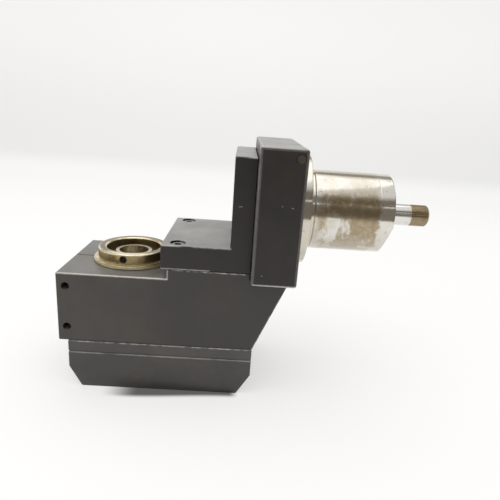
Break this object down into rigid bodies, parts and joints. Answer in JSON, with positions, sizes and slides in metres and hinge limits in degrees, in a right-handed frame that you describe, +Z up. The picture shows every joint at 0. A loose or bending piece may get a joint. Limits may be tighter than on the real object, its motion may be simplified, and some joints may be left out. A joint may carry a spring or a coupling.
{
  "type": "right-angle driven tool holder",
  "caption": "Right-angle driven tool holder: a round shank and flange on a bracket, an offset gear train in a block body and an upright collet spindle in a split clamp head.",
  "frame": {"origin": "middle of the bounding box on the plane that the part stands on", "axes": "+X from the spindle head along the shank to the drive stub, +Z up, the spindle's way out, +Y across the body"},
  "size_m": [0.2716, 0.1108, 0.1874],
  "materials": {
    "blackened_steel": "black oxide, worn bright on the edges",
    "ground_steel": "ground bright, stained brown in patches",
    "brass_toned_steel": "turned steel with an olive brown patina",
    "bearing_steel": "polished",
    "gear_steel": "hobbed and oiled",
    "bronze": "plain bearing bronze",
    "black_screws": "black oxide",
    "seal_rubber": "matt"
  },
  "bodies": {
    "housing": {"bearing_sleeve": "brass_toned_steel", "bore_plug": "black_screws", "bore_retaining_ring": "gear_steel", "bracket_screw_back": "black_screws", "bracket_screw_front": "black_screws", "clamp_screw_lower": "black_screws", "clamp_screw_upper": "black_screws", "cover_screw_left_back": "black_screws", "cover_screw_left_front": "black_screws", "cover_screw_right_back": "black_screws", "cover_screw_right_front": "black_screws", "cross_left_bearing_outer_race": "bearing_steel", "cross_right_bearing_outer_race": "bearing_steel", "face_plug": "brass_toned_steel", "flange_screw_high_back": "black_screws", "flange_screw_high_front": "black_screws", "flange_screw_low_back": "black_screws", "flange_screw_low_front": "black_screws", "flange_shank": "ground_steel", "housing_block": "blackened_steel", "idler_axle": "ground_steel", "input_bearing_outer_race": "bearing_steel", "l_bracket": "blackened_steel", "lower_cover": "blackened_steel", "lower_spindle_bearing_outer_race": "bearing_steel", "middle_plate": "blackened_steel", "ring_nut": "brass_toned_steel", "shaft_seal": "seal_rubber", "shank_bush": "bronze", "upper_spindle_bearing_outer_race": "bearing_steel"},
    "input_shaft": {"input_shaft": "ground_steel", "input_gear": "gear_steel", "shaft_retaining_ring": "gear_steel", "input_bearing_inner_race": "bearing_steel"},
    "idler": {"idler_gear": "gear_steel", "idler_bush": "bronze"},
    "cross_shaft": {"cross_shaft": "gear_steel", "cross_shaft_gear": "gear_steel", "cross_shaft_nut": "gear_steel", "cross_left_bearing_inner_race": "bearing_steel", "cross_right_bearing_inner_race": "bearing_steel"},
    "spindle": {"spindle": "ground_steel", "spindle_bevel_gear": "gear_steel", "spindle_lock_nut": "gear_steel", "upper_spindle_bearing_inner_race": "bearing_steel", "lower_spindle_bearing_inner_race": "bearing_steel"},
    "input_bearing_cage": {"input_bearing_ball_cage": "bearing_steel"},
    "cross_left_bearing_cage": {"cross_left_bearing_ball_cage": "bearing_steel"},
    "cross_right_bearing_cage": {"cross_right_bearing_ball_cage": "bearing_steel"},
    "upper_spindle_bearing_cage": {"upper_spindle_bearing_ball_cage": "bearing_steel"},
    "lower_spindle_bearing_cage": {"lower_spindle_bearing_ball_cage": "bearing_steel"}
  },
  "joints": [
    {"name": "input_shaft_spin", "type": "hinge", "parent": "housing", "child": "input_shaft", "pos_m": [-0.003, 0, 0.139], "axis": [1, 0, 0], "continuous": true},
    {"name": "idler_spin", "type": "hinge", "parent": "housing", "child": "idler", "pos_m": [-0.003, 0, 0.101], "axis": [1, 0, 0], "continuous": true},
    {"name": "cross_shaft_spin", "type": "hinge", "parent": "housing", "child": "cross_shaft", "pos_m": [-0.003, 0, 0.063], "axis": [1, 0, 0], "continuous": true},
    {"name": "spindle_spin", "type": "hinge", "parent": "housing", "child": "spindle", "pos_m": [-0.0898, 0, 0.063], "axis": [0, 0, 1], "continuous": true},
    {"name": "input_bearing_cage_spin", "type": "hinge", "parent": "housing", "child": "input_bearing_cage", "pos_m": [0.0095, 0, 0.139], "axis": [1, 0, 0], "continuous": true},
    {"name": "cross_left_bearing_cage_spin", "type": "hinge", "parent": "housing", "child": "cross_left_bearing_cage", "pos_m": [-0.0563, 0, 0.063], "axis": [1, 0, 0], "continuous": true},
    {"name": "cross_right_bearing_cage_spin", "type": "hinge", "parent": "housing", "child": "cross_right_bearing_cage", "pos_m": [-0.0151, 0, 0.063], "axis": [1, 0, 0], "continuous": true},
    {"name": "upper_spindle_bearing_cage_spin", "type": "hinge", "parent": "housing", "child": "upper_spindle_bearing_cage", "pos_m": [-0.0898, 0, 0.0855], "axis": [0, 0, 1], "continuous": true},
    {"name": "lower_spindle_bearing_cage_spin", "type": "hinge", "parent": "housing", "child": "lower_spindle_bearing_cage", "pos_m": [-0.0898, 0, 0.0345], "axis": [0, 0, 1], "continuous": true}
  ],
  "couplings": [
    {"joint": "idler_spin", "follows": "input_shaft_spin", "ratio": -0.9},
    {"joint": "cross_shaft_spin", "follows": "input_shaft_spin", "ratio": 1},
    {"joint": "spindle_spin", "follows": "input_shaft_spin", "ratio": 1},
    {"joint": "input_bearing_cage_spin", "follows": "input_shaft_spin", "ratio": 0.42132},
    {"joint": "cross_left_bearing_cage_spin", "follows": "input_shaft_spin", "ratio": 0.40373},
    {"joint": "cross_right_bearing_cage_spin", "follows": "input_shaft_spin", "ratio": 0.40373},
    {"joint": "upper_spindle_bearing_cage_spin", "follows": "input_shaft_spin", "ratio": 0.41764},
    {"joint": "lower_spindle_bearing_cage_spin", "follows": "input_shaft_spin", "ratio": 0.41489}
  ]
}
